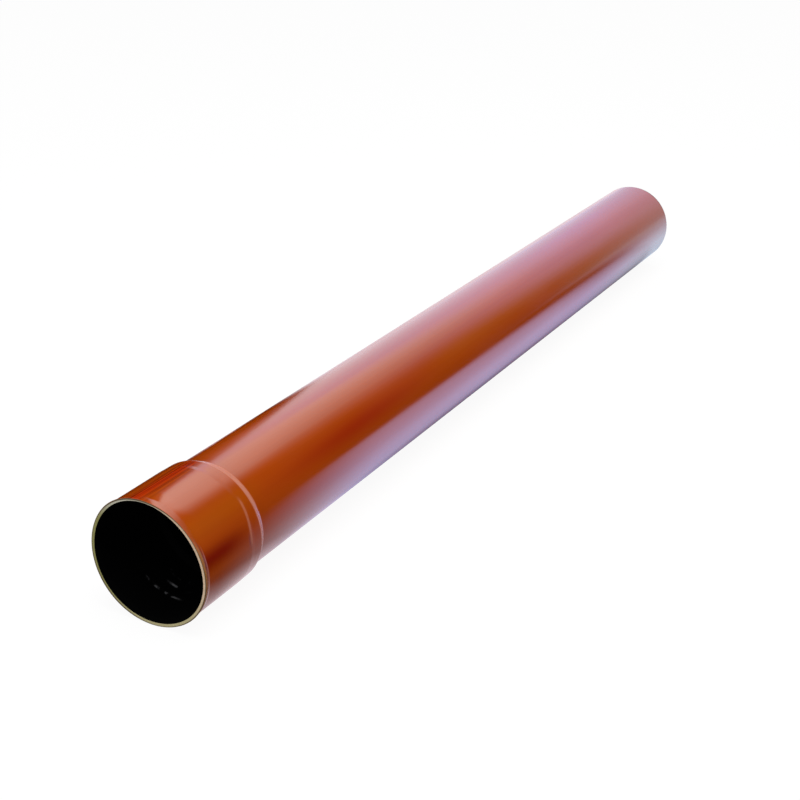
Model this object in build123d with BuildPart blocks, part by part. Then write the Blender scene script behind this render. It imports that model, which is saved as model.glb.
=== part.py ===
from build123d import *
import os

# A plastic rainwater downpipe: one extruded tube with a push-fit socket formed on one end.
# It lies along X on the plane Z = 0, with the socket's mouth at -X and the spigot at +X.

# Driving sizes, in millimetres
pipe_diameter = 100.0
wall = 3.0
overall_length = 1040.0

# The socket, measured along the pipe from its mouth
socket_gap = 0.4
flare_length = 6.0
flare_rise = 1.0
straight_end = 64.0
nose_end = 73.0
nose_drop = 0.4
shoulder_length = 9.0

# Bends of the wall, as radii of the outer face
flare_bend = 8.0
nose_bend = 60.0
shoulder_bend = 5.0
foot_bend = 6.0

# Edges at the two cut ends
mouth_edge = 0.4
chamfer_length = 2.5
chamfer_depth = 0.8
bore_edge = 0.4

# Radii of the outer face
pipe_radius = pipe_diameter / 2
socket_radius = pipe_radius + socket_gap + wall
nose_radius = socket_radius - nose_drop
mouth_radius = socket_radius + flare_rise
shoulder_end = nose_end + shoulder_length

# The flare is drawn this far past the mouth, then cut off square
overrun = wall
overrun_radius = mouth_radius + overrun * flare_rise / flare_length

# The section is drawn as distance from the mouth and radius, on the upright plane of the axis
section_plane = Plane(
    origin=(-overall_length / 2, 0, mouth_radius), x_dir=(1, 0, 0), z_dir=(0, -1, 0)
)
pipe_axis = Axis(section_plane.origin, section_plane.x_dir)
mouth_plane = Plane.YZ.offset(-overall_length / 2)

with BuildPart() as downpipe:
    # The outer face from mouth to spigot, and the inner face one wall inside it all the way
    with BuildSketch(section_plane):
        with BuildLine():
            FilletPolyline(
                (-overrun, overrun_radius),
                (flare_length, socket_radius),
                (straight_end, socket_radius),
                (nose_end, nose_radius),
                (shoulder_end, pipe_radius),
                (overall_length, pipe_radius),
                radius=[flare_bend, nose_bend, shoulder_bend, foot_bend],
            )
            offset(amount=wall, side=Side.RIGHT)
        make_face()
    revolve(axis=pipe_axis)
    split(bisect_by=mouth_plane, keep=Keep.TOP)

    # The mouth is cut square, and both its edges are eased
    mouth_edges = edges().filter_by(GeomType.CIRCLE).group_by(Axis.X)[0]
    fillet(mouth_edges, mouth_edge)

    # The spigot has a lead-in chamfer outside and its bore's burr taken off
    spigot_face = faces().sort_by(Axis.X)[-1]
    bore_rim, outer_rim = spigot_face.edges().sort_by(SortBy.RADIUS)
    chamfer(outer_rim, length=chamfer_depth, length2=chamfer_length, reference=spigot_face)
    chamfer(bore_rim, length=bore_edge)

downpipe.part.label = "downpipe"

os.makedirs("parts", exist_ok=True)
export_step(downpipe.part, "parts/downpipe.step")
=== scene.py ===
"""A plastic rainwater downpipe lying on a pale studio floor: its mesh, finish, light and camera."""

import math

import bpy
import numpy as np
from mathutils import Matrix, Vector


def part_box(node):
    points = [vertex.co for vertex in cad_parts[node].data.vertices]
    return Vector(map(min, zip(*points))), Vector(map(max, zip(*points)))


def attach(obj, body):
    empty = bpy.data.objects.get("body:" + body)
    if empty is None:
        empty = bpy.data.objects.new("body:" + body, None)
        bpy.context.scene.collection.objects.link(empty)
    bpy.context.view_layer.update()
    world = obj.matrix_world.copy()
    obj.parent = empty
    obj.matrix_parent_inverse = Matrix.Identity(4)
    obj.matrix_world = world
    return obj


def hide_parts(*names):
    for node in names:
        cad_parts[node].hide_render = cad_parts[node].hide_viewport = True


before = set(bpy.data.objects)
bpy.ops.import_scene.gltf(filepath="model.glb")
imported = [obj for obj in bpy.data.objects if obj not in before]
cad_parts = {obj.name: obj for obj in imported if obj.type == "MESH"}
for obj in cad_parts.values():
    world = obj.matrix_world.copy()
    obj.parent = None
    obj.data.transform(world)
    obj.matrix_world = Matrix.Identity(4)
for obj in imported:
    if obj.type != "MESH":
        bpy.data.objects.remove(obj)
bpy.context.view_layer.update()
low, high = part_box("downpipe")

# Sizes in metres. The pipe lies along X, and its section is drawn as (distance from the mouth, radius)
mouth_x = low.x
length = high.x - low.x
pipe_radius = 0.050
wall = 0.003
socket_gap = 0.0004
socket_radius = pipe_radius + socket_gap + wall
flare_length = 0.006
flare_rise = 0.001
mouth_radius = socket_radius + flare_rise
axis_z = mouth_radius

straight_end = 0.0610
step_end = 0.0652
step_drop = 0.0002
nose_end = 0.0753
nose_drop = 0.0004
shoulder_end = 0.0807
chamfer_length = 0.0025
chamfer_depth = 0.0008
bore_edge = 0.0004

# Bends of the outer face, and the eased edges of the two cut ends
flare_bend = 0.008
step_bend = 0.020
shoulder_bend = 0.005
foot_bend = 0.004
eased_edge = 0.0004
crisp_edge = 0.0001

# The mouth is a little out of round: three shallow lobes, which die out past the flare
lobe = 0.00042
lobes = 3
lobe_phase = math.radians(108)
lobe_length = 0.010

# The flare is nearly lost beside the crown, where the wall runs almost straight to the cut
ease = 0.00125
ease_power = 1.15
ease_centre = math.radians(-5)
ease_reach = math.radians(52)
ease_end = flare_length + 0.0007

# How finely the mesh follows the section
sides = 320
skin_run = 0.012
bore_run = 0.040
arc_step = math.radians(4)
least_arc_steps = 4

# Material slots of the pipe's mesh
SKIN, CUT, BORE = 0, 1, 2


def crossing(a, along_a, b, along_b):
    """Where the line through a along along_a meets the line through b along along_b."""
    share = np.cross(b - a, along_b) / np.cross(along_a, along_b)
    return a + share * along_a


def left_of(way):
    """The direction a quarter turn to the left of way."""
    return np.array((-way[1], way[0]))


def outer_corners():
    """Corners of the outer face from mouth to spigot, each with its bend."""
    return [
        (0.0, mouth_radius, eased_edge),
        (flare_length, socket_radius, flare_bend),
        (straight_end, socket_radius, step_bend),
        (step_end, socket_radius - step_drop, step_bend),
        (nose_end, socket_radius - nose_drop, shoulder_bend),
        (shoulder_end, pipe_radius, foot_bend),
        (length, pipe_radius, crisp_edge),
    ]


def bore_corners():
    """The outer face moved one wall inwards: its lines are crossed again, and its bends follow."""
    outer = outer_corners()
    points = [np.array(c[:2]) for c in outer]
    along = [(b - a) / np.linalg.norm(b - a) for a, b in zip(points, points[1:])]
    inward = [-wall * left_of(way) for way in along]
    square = np.array((0.0, 1.0))
    corners = [(*crossing(points[0], square, points[0] + inward[0], along[0]), eased_edge)]
    for i in range(1, len(along)):
        a, b = points[i] + inward[i - 1], points[i] + inward[i]
        hollow = np.cross(along[i - 1], along[i]) > 0
        bend = outer[i][2] + (wall if hollow else -wall)
        corners.append((*crossing(a, along[i - 1], b, along[i]), bend))
    corners.append((length, pipe_radius - wall, crisp_edge))
    return corners


def section():
    """The closed outline of the wall as (distance, radius, bend, material of the run that follows)."""
    outer, bore = outer_corners(), bore_corners()
    outline = [(*c, SKIN) for c in outer[:-1]]
    outline += [
        (length - chamfer_length, pipe_radius, crisp_edge, SKIN),
        (length, pipe_radius - chamfer_depth, crisp_edge, CUT),
        (length, pipe_radius - wall + bore_edge, crisp_edge, CUT),
        (length - bore_edge, pipe_radius - wall, crisp_edge, BORE),
    ]
    outline += [(*c, BORE) for c in reversed(bore[1:-1])]
    outline += [(*bore[0], CUT)]
    return outline


def turn_at(corners, i):
    """The directions in which the outline comes to corner i and leaves it, and the angle between them."""
    come = corners[i] - corners[i - 1]
    go = corners[(i + 1) % len(corners)] - corners[i]
    come = come / np.linalg.norm(come)
    go = go / np.linalg.norm(go)
    return come, go, math.atan2(np.cross(come, go), np.dot(come, go))


def rounded(outline):
    """Points, normals and materials along the outline, with its corners as arcs and long runs divided."""
    points, normals, materials = [], [], []
    corners = [np.array(c[:2]) for c in outline]
    turns = [turn_at(corners, i) for i in range(len(corners))]
    reaches = [c[2] * math.tan(abs(turn) / 2) for c, (_, _, turn) in zip(outline, turns)]
    for i, (_, _, bend, material) in enumerate(outline):
        come, go, turn = turns[i]
        steps = max(least_arc_steps, math.ceil(abs(turn) / arc_step))
        side = math.copysign(1, turn)
        centre = corners[i] - come * reaches[i] + side * bend * left_of(come)
        for k in range(steps + 1):
            angle = turn * k / steps
            way = come * math.cos(angle) + left_of(come) * math.sin(angle)
            points.append(centre - side * bend * left_of(way))
            normals.append(left_of(way))
            materials.append(outline[i - 1][3] if 2 * k < steps else material)
        ahead = (i + 1) % len(corners)
        start, end = points[-1], corners[ahead] - go * reaches[ahead]
        run = {SKIN: skin_run, BORE: bore_run, CUT: wall}[material]
        parts = math.ceil(np.linalg.norm(end - start) / run)
        for k in range(1, parts):
            points.append(start + (end - start) * k / parts)
            normals.append(left_of(go))
            materials.append(material)
    return np.array(points), np.array(normals), materials


def mouth_offset(along, radius, angle):
    """How far the wall stands off its true circle near the mouth, and the slope of that along the pipe."""
    wave = np.cos(lobes * angle + lobes * lobe_phase)
    share = np.clip(1 - along / lobe_length, 0, 1)
    swell = lobe * share**2 * (3 - 2 * share)
    swell_slope = -lobe * 6 * share * (1 - share) / lobe_length

    # The eased flare: full on the outer face at the crown, and nothing on the bore or past its reach
    away = (angle - ease_centre + math.pi) % (2 * math.pi) - math.pi
    away = np.clip(np.abs(away) / ease_reach, 0, 1)
    crown = 1 - away**2 * (3 - 2 * away)
    rise = flare_rise * np.clip(1 - along / flare_length, 0, 1)
    depth = np.clip((radius - socket_radius + wall - rise) / wall, 0, 1)
    left = np.clip(1 - along / ease_end, 0, 1)
    flat = -ease * depth * left**ease_power
    flat_slope = ease * depth * ease_power / ease_end * left ** (ease_power - 1)
    return swell * wave + flat * crown, swell_slope * wave + flat_slope * crown


def make_pipe():
    """The section turned round the pipe's axis, as one closed mesh with its true normals."""
    points, normals, materials = rounded(section())
    stations = len(points)
    angle = np.arange(sides) * 2 * math.pi / sides
    offset, slope = mouth_offset(points[:, :1], points[:, 1:], angle)
    radius = points[:, 1:] + offset

    # How fast the radius changes with the angle, from the two neighbours of each point
    turn_slope = (np.roll(offset, -1, 1) - np.roll(offset, 1, 1)) * sides / (4 * math.pi)

    def spread(along, outward, sideways):
        """Vectors on the section at each station, turned to every angle round the axis."""
        y = outward * np.sin(angle) + sideways * np.cos(angle)
        z = outward * np.cos(angle) - sideways * np.sin(angle)
        return np.stack([np.broadcast_to(along, y.shape), y, z], -1).reshape(-1, 3)

    places = spread(points[:, :1], radius, 0.0) + (mouth_x, 0, axis_z)
    facing = spread(
        normals[:, :1] - slope * normals[:, 1:],
        normals[:, 1:],
        -normals[:, 1:] * turn_slope / radius,
    )
    facing /= np.linalg.norm(facing, axis=1, keepdims=True)
    here = np.arange(stations * sides).reshape(stations, sides)
    ahead = np.roll(here, -1, 0)
    quads = np.stack([here, ahead, np.roll(ahead, -1, 1), np.roll(here, -1, 1)], -1)
    mesh = bpy.data.meshes.new("pipe")
    mesh.from_pydata(places.tolist(), [], quads.reshape(-1, 4).tolist())
    mesh.polygons.foreach_set("material_index", np.repeat(materials, sides).astype(np.int32))
    mesh.polygons.foreach_set("use_smooth", np.ones(stations * sides, bool))
    mesh.normals_split_custom_set_from_vertices(facing.tolist())
    mesh.validate()
    pipe = bpy.data.objects.new("downpipe_shell", mesh)
    bpy.context.scene.collection.objects.link(pipe)
    return pipe


# Small helpers for node trees. An input may be a number, a colour or another node's output


def feed(tree, socket, value):
    """Wires another node's output into a socket, or sets the socket to a plain value."""
    if isinstance(value, bpy.types.NodeSocket):
        tree.links.new(value, socket)
    else:
        socket.default_value = value


def add(tree, kind, inputs=None, **settings):
    """A new node with its settings and inputs. Returns the node."""
    node = tree.nodes.new(kind)
    for name, value in settings.items():
        setattr(node, name, value)
    for name, value in (inputs or {}).items():
        feed(tree, node.inputs[name], value)
    return node


def calc(tree, operation, *values):
    """The result of a Math node."""
    return add(tree, "ShaderNodeMath", dict(enumerate(values)), operation=operation).outputs[0]


def product(tree, *values):
    """All values multiplied."""
    result = values[0]
    for value in values[1:]:
        result = calc(tree, "MULTIPLY", result, value)
    return result


def ramp(tree, value, start, end, to=(0.0, 1.0)):
    """A smooth step of value from start to end."""
    inputs = {"Value": value, "From Min": start, "From Max": end, "To Min": to[0], "To Max": to[1]}
    node = add(tree, "ShaderNodeMapRange", inputs, interpolation_type="SMOOTHSTEP")
    return node.outputs["Result"]


def span(tree, value, start, full, full_end, end):
    """One from full to full_end, falling smoothly to zero at start and at end."""
    return calc(tree, "MULTIPLY", ramp(tree, value, start, full), ramp(tree, value, end, full_end))


def bell(tree, value, centre, reach):
    """One at the centre, falling smoothly to zero at the reach on both sides."""
    away = calc(tree, "ABSOLUTE", calc(tree, "SUBTRACT", value, centre))
    return ramp(tree, away, 0.0, reach, (1.0, 0.0))


def noise(tree, scale, stretch=(1, 1, 1), detail=4.0, rough=0.55, place=(0, 0, 0)):
    """Noise in the object's own metres, with each axis stretched by its own factor."""
    at = add(tree, "ShaderNodeTexCoord").outputs["Object"]
    moved = add(tree, "ShaderNodeMapping", {"Vector": at, "Location": place, "Scale": stretch})
    inputs = {"Vector": moved.outputs[0], "Scale": scale, "Detail": detail, "Roughness": rough}
    return add(tree, "ShaderNodeTexNoise", inputs).outputs["Fac"]


def blend(tree, share, first, second):
    """A colour between first and second."""
    node = add(tree, "ShaderNodeMix", data_type="RGBA")
    factor, colour_a, colour_b = node.inputs[0], node.inputs[6], node.inputs[7]
    feed(tree, factor, share)
    feed(tree, colour_a, first)
    feed(tree, colour_b, second)
    return node.outputs[2]


def pipe_place(tree):
    """Distance from the mouth, radius and angle round the axis (from the top, + towards -Y) in degrees."""
    at = add(tree, "ShaderNodeTexCoord").outputs["Object"]
    x, y, z = add(tree, "ShaderNodeSeparateXYZ", {"Vector": at}).outputs
    up = calc(tree, "SUBTRACT", z, axis_z)
    aside = calc(tree, "MULTIPLY", y, -1.0)
    square = calc(tree, "MULTIPLY_ADD", up, up, calc(tree, "MULTIPLY", aside, aside))
    angle = calc(tree, "DEGREES", calc(tree, "ARCTAN2", aside, up))
    return calc(tree, "SUBTRACT", x, mouth_x), calc(tree, "POWER", square, 0.5), angle


def new_material(name):
    """A material with an empty node tree and a Principled shader wired to its output."""
    material = bpy.data.materials.new(name)
    material.use_nodes = True
    tree = material.node_tree
    tree.nodes.clear()
    shader = add(tree, "ShaderNodeBsdfPrincipled")
    add(tree, "ShaderNodeOutputMaterial", {"Surface": shader.outputs[0]})
    return material, tree, shader


def set_shader(tree, shader, **values):
    """Feeds the shader's sockets, named with _ for a space."""
    for name, value in values.items():
        feed(tree, shader.inputs[name.replace("_", " ")], value)


def skin_colour(tree, along, angle, draw_lines):
    """The plastic's colour, with painted light and shade on the camera's side: a browner lit tone, a darker
    red shaded patch and a dark shaded strip low by the mouth, and redder on the crown.
    """
    clouds = noise(tree, 9.0, (0.4, 1, 1), detail=3, place=(3, 1, 2))
    tone = calc(tree, "MULTIPLY_ADD", draw_lines, 0.35, calc(tree, "MULTIPLY", clouds, 0.65))
    colour = blend(tree, ramp(tree, tone, 0.3, 0.7), (0.395, 0.053, 0.001, 1), (0.445, 0.061, 0.001, 1))
    # Painted light: a browner, lighter tone on the lit part of the camera's side, by the socket and further
    # along the pipe
    beside = calc(tree, "MAXIMUM", ramp(tree, along, 0.11, 0.06), ramp(tree, along, 0.34, 0.46))
    brown = product(tree, bell(tree, angle, 48, 18), beside, 0.6)
    colour = blend(tree, brown, colour, (0.43, 0.082, 0.001, 1))
    far_lit_brown = product(tree, bell(tree, angle, 64, 19), ramp(tree, along, 0.62, 0.80), 0.7)
    colour = blend(tree, far_lit_brown, colour, (0.45, 0.10, 0.002, 1))
    # Painted shade: a darker red patch on the camera's side, and a dark strip low on it by the mouth
    shaded_red_patch = product(tree, bell(tree, angle, 56, 17), bell(tree, along, 0.24, 0.18))
    colour = blend(tree, shaded_red_patch, colour, (0.34, 0.024, 0.001, 1))
    shaded_low_strip = product(tree, bell(tree, angle, 76, 14), ramp(tree, along, 0.075, 0.025))
    colour = blend(tree, shaded_low_strip, colour, (0.23, 0.010, 0.001, 1))
    crown = product(tree, bell(tree, angle, -9, 10), ramp(tree, along, 0.080, 0.068))
    return blend(tree, crown, colour, (0.46, 0.026, 0.001, 1))


def drag_marks(tree, along, angle, colour):
    """Dark and burnished streaks along the socket's crown."""
    drag = noise(tree, 1.0, (4, 560, 560), detail=2, place=(2, 7, 3))
    near_crown = product(tree, bell(tree, angle, -9, 17), ramp(tree, along, 0.078, 0.066))
    dragged = product(tree, ramp(tree, drag, 0.50, 0.58), near_crown, 0.85)
    colour = blend(tree, dragged, colour, (0.13, 0.010, 0.002, 1))
    burnished = product(tree, ramp(tree, drag, 0.46, 0.38), near_crown, 0.4)
    return blend(tree, burnished, colour, (0.62, 0.060, 0.004, 1))


def shoulder_highlights(tree, along, angle, colour, roughness):
    """Painted highlights, paler salmon and duller, that stand in for the reflections on the shoulder and on a
    step before it.
    """
    # Painted highlights: a band over the whole shoulder high up, and a nose line and a fainter foot line
    # lower on the camera's side
    on_shoulder = span(
        tree, along, nose_end - 0.0021, nose_end + 0.0001, shoulder_end - 0.0001, shoulder_end + 0.0019
    )
    whole = product(tree, on_shoulder, span(tree, angle, -6, 10, 56, 72))
    at_nose = bell(tree, along, nose_end + 0.0004, 0.0024)
    nose = product(tree, at_nose, span(tree, angle, 50, 60, 98, 112))
    at_foot = bell(tree, along, shoulder_end - 0.0005, 0.0016)
    foot = product(tree, at_foot, span(tree, angle, 60, 75, 98, 108), 0.4)
    shoulder = calc(tree, "MAXIMUM", whole, calc(tree, "MAXIMUM", nose, foot))

    # The step's painted highlight arc slants from its end towards its start, and a plum smear of painted
    # reflection lies beside its low end
    arc = ramp(tree, angle, 48, 88, (step_end - 0.0002, straight_end + 0.0002))
    step = product(tree, bell(tree, along, arc, 0.0026), span(tree, angle, 44, 54, 84, 94), 0.6)
    painted_highlight = calc(tree, "MAXIMUM", shoulder, step)
    at_plum_reflection = bell(tree, along, straight_end - 0.0010, 0.0036)
    plum_reflection = product(tree, at_plum_reflection, bell(tree, angle, 85, 10), 0.6)
    colour = blend(tree, plum_reflection, colour, (0.24, 0.06, 0.07, 1))
    colour = blend(tree, painted_highlight, colour, (0.60, 0.18, 0.08, 1))
    return colour, calc(tree, "MULTIPLY_ADD", painted_highlight, 0.35, roughness)


def end_marks(tree, along, angle, colour, roughness):
    """At the mouth a rubbed tan band, a dark line and a pale line of painted highlight, and at the far end a
    dark line of painted shade.
    """
    band_end = 0.0036
    fray = noise(tree, 260.0, detail=2, place=(1, 5, 2))
    ragged = calc(tree, "MULTIPLY_ADD", fray, 0.0012, along)
    below = ramp(tree, angle, 50, 68)
    rubbed = calc(tree, "MULTIPLY", ramp(tree, ragged, band_end, band_end - 0.0006), below)
    line = product(tree, bell(tree, ragged, band_end + 0.0001, 0.0006), ramp(tree, angle, 50, 66))
    colour = blend(tree, rubbed, colour, (0.38, 0.125, 0.014, 1))
    colour = blend(tree, calc(tree, "MULTIPLY", line, 0.8), colour, (0.06, 0.015, 0.003, 1))
    # Painted highlight: a pale pink line on the flare's toe, low on the camera's side
    pale_highlight_line = product(tree, bell(tree, along, band_end + 0.0015, 0.0011), ramp(tree, angle, 58, 70), 0.7)
    colour = blend(tree, pale_highlight_line, colour, (0.46, 0.16, 0.10, 1))
    roughness = calc(tree, "MULTIPLY_ADD", calc(tree, "MAXIMUM", rubbed, line), 0.38, roughness)
    # Painted shade: a dark line round the far end's edge, on the upper side towards the camera
    by_far_end = ramp(tree, along, length - 0.0036, length - 0.0024)
    far_edge_shade = product(tree, by_far_end, bell(tree, angle, 30, 60))
    colour = blend(tree, far_edge_shade, colour, (0.05, 0.02, 0.015, 1))
    return colour, calc(tree, "MULTIPLY_ADD", far_edge_shade, 0.5, roughness)


def skin_material():
    """Copper-brown gloss plastic with fine draw lines along the pipe, marks of use, painted light and shade
    on the camera's side, and painted highlights on the shoulder and by the mouth.
    """
    material, tree, shader = new_material("pipe_skin")
    along, _, angle = pipe_place(tree)
    draw_lines = noise(tree, 1.0, (1.2, 420, 420), detail=3)
    roughness = ramp(tree, noise(tree, 30.0, (0.3, 1, 1)), 0.3, 0.7, (0.14, 0.18))
    colour = skin_colour(tree, along, angle, draw_lines)
    colour = drag_marks(tree, along, angle, colour)
    colour, roughness = shoulder_highlights(tree, along, angle, colour, roughness)
    colour, roughness = end_marks(tree, along, angle, colour, roughness)
    bump = add(tree, "ShaderNodeBump", {"Height": draw_lines, "Strength": 0.05, "Distance": 0.0005})
    set_shader(tree, shader, Base_Color=colour, Roughness=roughness, IOR=1.5, Normal=bump.outputs[0])
    return material


def cut_material():
    """The sawn wall: a pale core between a dark outer edge and the black of the bore, with painted light and
    shade that change round the face.
    """
    material, tree, shader = new_material("cut_face")
    _, radius, angle = pipe_place(tree)
    grain = noise(tree, 700.0, detail=2)
    # Painted light and shade round the face: the core paler at the top and warmer aside, darker low down, and
    # darker olive on the far side
    lit_core = blend(tree, ramp(tree, angle, -20, 40), (0.52, 0.50, 0.40, 1), (0.68, 0.50, 0.35, 1))
    low_side = ramp(tree, calc(tree, "ABSOLUTE", angle), 95, 140)
    core = blend(tree, low_side, lit_core, (0.46, 0.41, 0.22, 1))
    far_side_shade = span(tree, angle, -175, -120, -60, -30)
    core = blend(tree, far_side_shade, core, (0.26, 0.25, 0.09, 1))
    core = blend(tree, ramp(tree, grain, 0.35, 0.65, (0.25, 0.0)), core, (0.12, 0.09, 0.04, 1))

    # The dark edge is thinner low on the camera's side, and follows the lost flare in at the crown
    wander = calc(tree, "MULTIPLY_ADD", bell(tree, angle, 105, 60), -0.0006, radius)
    wander = calc(tree, "MULTIPLY_ADD", bell(tree, angle, 8, 48), 0.0010, wander)
    ragged = calc(tree, "MULTIPLY_ADD", grain, 0.0006, wander)
    dark_edge = ramp(tree, ragged, mouth_radius - 0.0013, mouth_radius - 0.0005)
    colour = blend(tree, dark_edge, core, (0.08, 0.05, 0.02, 1))
    bump = add(tree, "ShaderNodeBump", {"Height": grain, "Strength": 0.3, "Distance": 0.0002})
    set_shader(tree, shader, Base_Color=colour, Roughness=0.6, IOR=1.5, Normal=bump.outputs[0])
    return material


def bore_material():
    """The black inside, dull, with grey scuffs where a pipe's end has rubbed the socket's floor."""
    material, tree, shader = new_material("bore")
    along, _, angle = pipe_place(tree)
    turn = calc(tree, "MODULO", calc(tree, "ADD", angle, 360.0), 360.0)
    patches = noise(tree, 70.0, detail=3, rough=0.65, place=(0, 2, 1))
    scuffs = 0.0
    for place, reach, centre, half_turn, level in (
        (0.0350, 0.0019, 204, 32, 0.48),
        (0.0470, 0.0021, 192, 16, 0.53),
        (0.0580, 0.0026, 201, 15, 0.56),
    ):
        ring = calc(tree, "MULTIPLY", bell(tree, along, place, reach), bell(tree, turn, centre, half_turn))
        marks = product(tree, ring, ramp(tree, patches, level - 0.06, level + 0.10))
        scuffs = calc(tree, "MAXIMUM", scuffs, marks)
    colour = blend(tree, scuffs, (0.001, 0.001, 0.0011, 1), (0.34, 0.34, 0.36, 1))
    set_shader(tree, shader, Base_Color=colour, Roughness=0.7, IOR=1.45, Specular_IOR_Level=0.02)
    return material


# The studio. Angles are degrees: azimuth from +X towards +Y, elevation above the floor


def sweep_glow(tree, azimuth, elevation):
    """A bright sweep past the far end. Its left edge softens and its right edge turns in with height."""
    raised = calc(tree, "MAXIMUM", elevation, 0.0)
    left = calc(tree, "MULTIPLY_ADD", raised, 0.27, -26.0)
    softness = calc(tree, "MULTIPLY_ADD", raised, 0.22, 1.2)
    from_left = calc(tree, "DIVIDE", calc(tree, "SUBTRACT", azimuth, left), softness)
    high_up = calc(tree, "MAXIMUM", calc(tree, "SUBTRACT", elevation, 3.3), 0.0)
    right = calc(tree, "MULTIPLY_ADD", calc(tree, "MULTIPLY", high_up, high_up), -0.0058, 39.7)
    from_right = calc(tree, "SUBTRACT", right, azimuth)
    inside = product(tree, ramp(tree, from_left, -1, 1), ramp(tree, from_right, -0.4, 0.4))
    slant = calc(tree, "MULTIPLY_ADD", azimuth, -0.55, elevation)
    rising = ramp(tree, elevation, -6, 40, (1.65, 2.3))
    level = product(tree, rising, ramp(tree, slant, 19.5, 46.5, (1.0, 0.35)))
    ceiling = ramp(tree, elevation, 36, 50, (0.0, 2.1))
    return product(tree, inside, calc(tree, "ADD", level, ceiling))


def gloss_tint(tree, ahead, straight_on, azimuth, elevation):
    """Cool blue low past the far end, violet just off straight on, and paler high up and to the sides."""
    violet = product(tree, bell(tree, ahead, 0.893, 0.016), ramp(tree, elevation, 12, 20))
    cool = blend(tree, straight_on, (0.58, 0.72, 1.10, 1), (0.64, 0.72, 0.98, 1))
    cool = blend(tree, violet, cool, (0.58, 0.69, 1.34, 1))
    aside = calc(tree, "ABSOLUTE", azimuth)
    paler = calc(tree, "MAXIMUM", ramp(tree, elevation, 29, 36), ramp(tree, azimuth, 17, 55))
    paler = calc(tree, "MAXIMUM", paler, ramp(tree, aside, 66, 90))
    return blend(tree, paler, cool, (1.04, 1.06, 1.0, 1))


def make_world():
    """White to the camera, an even dome to rough surfaces, and soft boxes to glossy ones."""
    world = bpy.data.worlds.new("studio")
    bpy.context.scene.world = world
    world.use_nodes = True
    world.cycles.sampling_method = "NONE"
    tree = world.node_tree
    tree.nodes.clear()
    way = add(tree, "ShaderNodeTexCoord").outputs["Generated"]
    ahead, sideways, up = add(tree, "ShaderNodeSeparateXYZ", {"Vector": way}).outputs
    azimuth = calc(tree, "DEGREES", calc(tree, "ARCTAN2", sideways, ahead))
    elevation = calc(tree, "DEGREES", calc(tree, "ARCSINE", up))

    # The sweep is dimmer straight on. The other boxes are overhead and round the sides, past two dark gaps
    straight_on = ramp(tree, ahead, 0.892, 0.922)
    dimmer = calc(tree, "MULTIPLY_ADD", straight_on, -0.22, 1.0)
    sweep = product(tree, sweep_glow(tree, azimuth, elevation), dimmer)
    overhead = ramp(tree, elevation, 52, 66, (0.0, 1.5))
    around = ramp(tree, calc(tree, "ABSOLUTE", azimuth), 62, 80, (0.0, 1.3))
    glow = calc(tree, "MAXIMUM", sweep, calc(tree, "MAXIMUM", overhead, around))
    glow_tint = gloss_tint(tree, ahead, straight_on, azimuth, elevation)

    path = add(tree, "ShaderNodeLightPath").outputs
    mirrored = path["Is Glossy Ray"]
    seen = calc(tree, "MAXIMUM", path["Is Camera Ray"], path["Is Transmission Ray"])
    dome = product(tree, path["Is Diffuse Ray"], 0.5)
    strength = calc(tree, "ADD", calc(tree, "MULTIPLY_ADD", mirrored, glow, seen), dome)
    colour = blend(tree, mirrored, (1, 1, 1, 1), glow_tint)
    background = add(tree, "ShaderNodeBackground", {"Color": colour, "Strength": strength})
    add(tree, "ShaderNodeOutputWorld", {"Surface": background.outputs[0]})


def front_glow(tree, x, y):
    """What the gloss shows of the floor in front of the pipe: its strength and colour."""
    # How much is left at the pipe's foot, which is more towards the mouth
    near_mouth = ramp(tree, x, -0.50, -0.37, (0.55, 0.0))
    foot = calc(tree, "ADD", ramp(tree, x, -0.40, -0.04, (0.38, 0.0)), near_mouth)
    at_foot = ramp(tree, y, -0.086, -0.005)
    fade = calc(tree, "MULTIPLY_ADD", calc(tree, "SUBTRACT", foot, 1.0), at_foot, 1.0)

    # A lit strip from a slanted edge, which fades outwards except close to the pipe, and a patch by the mouth
    outward = calc(tree, "MULTIPLY_ADD", y, -1.04, x)
    strip = product(
        tree,
        ramp(tree, calc(tree, "MULTIPLY_ADD", y, 1.32, x), -0.60, -0.27),
        calc(tree, "MAXIMUM", ramp(tree, outward, 1.07, 0.40), ramp(tree, y, -0.30, -0.06)),
        ramp(tree, x, -0.25, 0.5, (2.8, 2.0)),
        fade,
    )
    by_mouth = product(
        tree,
        ramp(tree, x, -0.62, -0.41),
        ramp(tree, x, -0.48, -0.40, (1.14, 1.70)),
        ramp(tree, y, -0.096, -0.035),
        fade,
    )

    # A patch that fans out from a point beside the far end
    fan = calc(tree, "DIVIDE", calc(tree, "ADD", y, 0.05), calc(tree, "SUBTRACT", x, 0.4))
    clear = ramp(tree, calc(tree, "MULTIPLY_ADD", y, 0.9, x), 0.42, 0.52)
    dip = ramp(tree, y, -0.08, -0.03, (0.0, 0.8))
    level = calc(tree, "SUBTRACT", ramp(tree, y, -0.20, -0.10, (1.75, 2.1)), dip)
    past_end = product(tree, ramp(tree, fan, -0.72, -0.30), clear, level)
    front = calc(tree, "MAXIMUM", calc(tree, "MAXIMUM", strip, by_mouth), past_end)

    # A little darker right under the pipe's middle, and less so towards the far end
    under = product(
        tree,
        ramp(tree, y, -0.046, -0.034),
        ramp(tree, x, -0.34, -0.16),
        ramp(tree, x, 0.15, 0.30, (1.0, 0.5)),
    )
    front = calc(tree, "MULTIPLY", front, calc(tree, "MULTIPLY_ADD", under, -0.30, 1.0))
    tint = blend(tree, ramp(tree, x, -0.45, -0.20), (1.10, 0.92, 1.0, 1), (0.67, 0.66, 1.08, 1))
    beyond = ramp(tree, calc(tree, "MULTIPLY_ADD", x, 0.52, y), 0.08, 0.26)
    return front, blend(tree, beyond, tint, (0.72, 0.90, 1.12, 1))


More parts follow.
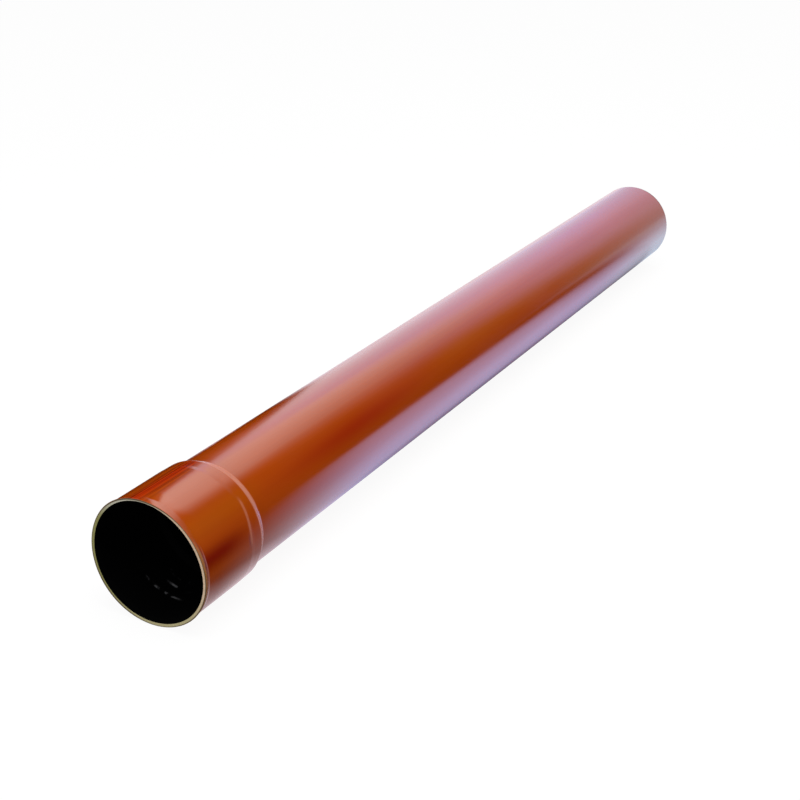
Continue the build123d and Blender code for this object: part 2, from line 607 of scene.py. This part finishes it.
def floor_glow(tree, x, y):
    """What the pipe's gloss shows of the floor: its strength and colour at a place."""
    front, front_tint = front_glow(tree, x, y)

    # Behind the pipe, lit past the line where the sweep's right edge stands, and close to the socket
    line = calc(tree, "SUBTRACT", calc(tree, "MULTIPLY_ADD", x, 0.823, 0.274), y)
    back = product(tree, ramp(tree, line, -0.02, 0.08), ramp(tree, y, 0.25, 1.2, (1.10, 1.38)))
    near_socket = product(tree, ramp(tree, x, -0.08, -0.15), ramp(tree, line, -0.15, -0.08), 1.2)
    back = calc(tree, "MAXIMUM", back, near_socket)

    behind = calc(tree, "GREATER_THAN", y, 0.0)
    off_mouth = ramp(tree, x, -0.75, -1.0, (0.0, 0.9))
    strength = add(tree, "ShaderNodeMix", {"Factor": behind, "A": front, "B": back}).outputs["Result"]
    tint = blend(tree, behind, front_tint, (1.01, 0.98, 1.10, 1))
    return calc(tree, "MAXIMUM", strength, off_mouth), tint


def make_floor():
    """A pale floor that keeps a faint shadow, and is lit in patches where the gloss shows it."""
    size = 30
    mesh = bpy.data.meshes.new("floor")
    corners = [(-size, -size, 0), (size, -size, 0), (size, size, 0), (-size, size, 0)]
    mesh.from_pydata(corners, [], [(0, 1, 2, 3)])
    floor = bpy.data.objects.new("floor", mesh)
    bpy.context.scene.collection.objects.link(floor)
    material = bpy.data.materials.new("floor_paper")
    material.use_nodes = True
    material.cycles.emission_sampling = "NONE"
    tree = material.node_tree
    tree.nodes.clear()
    at = add(tree, "ShaderNodeTexCoord").outputs["Object"]
    x, y, _ = add(tree, "ShaderNodeSeparateXYZ", {"Vector": at}).outputs
    glow, glow_tint = floor_glow(tree, x, y)

    path = add(tree, "ShaderNodeLightPath").outputs
    mirrored = path["Is Glossy Ray"]
    seen = calc(tree, "MAXIMUM", path["Is Camera Ray"], path["Is Transmission Ray"])
    shown = calc(tree, "MULTIPLY_ADD", mirrored, glow, calc(tree, "MULTIPLY", seen, 0.93))
    tint = blend(tree, mirrored, (1, 1, 1, 1), glow_tint)
    grey = blend(tree, seen, (0.15, 0.15, 0.15, 1), (0.09, 0.09, 0.09, 1))
    grey = blend(tree, mirrored, grey, (0, 0, 0, 1))
    paper = add(tree, "ShaderNodeBsdfDiffuse", {"Color": grey})
    emission = add(tree, "ShaderNodeEmission", {"Color": tint, "Strength": shown})
    both = add(tree, "ShaderNodeAddShader", {0: paper.outputs[0], 1: emission.outputs[0]})
    add(tree, "ShaderNodeOutputMaterial", {"Surface": both.outputs[0]})
    mesh.materials.append(material)


def make_lamp(name, place, size, power):
    """A round soft lamp that faces the frame's origin, and leaves the gloss to the world's soft boxes."""
    data = bpy.data.lights.new(name, "AREA")
    data.shape = "DISK"
    data.size = size
    data.energy = power
    lamp = bpy.data.objects.new(name, data)
    lamp.location = place
    lamp.visible_glossy = False
    lamp.rotation_mode = "QUATERNION"
    lamp.rotation_quaternion = (-lamp.location).to_track_quat("-Z", "Y")
    bpy.context.scene.collection.objects.link(lamp)


def make_camera():
    """The photograph's view: above and beside the mouth, looking along the pipe."""
    data = bpy.data.cameras.new("camera")
    data.sensor_width = 36
    data.lens = 62.06
    data.clip_start = 0.05
    data.clip_end = 200
    camera = bpy.data.objects.new("camera", data)
    camera.location = (-1.21646, -0.60296, 0.58382)
    camera.rotation_euler = (math.radians(66.365), math.radians(-0.107), math.radians(-60.972))
    bpy.context.scene.collection.objects.link(camera)
    bpy.context.scene.camera = camera


pipe = make_pipe()
for made in (skin_material(), cut_material(), bore_material()):
    pipe.data.materials.append(made)
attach(pipe, "root")
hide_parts("downpipe")

make_world()
make_floor()
make_lamp("key", (-0.35, -0.6, 2.4), 2.0, 34)
make_lamp("mouth_fill", (-3.5, -0.1, 0.5), 1.2, 45)
make_camera()
bpy.context.scene.view_settings.view_transform = "Standard"
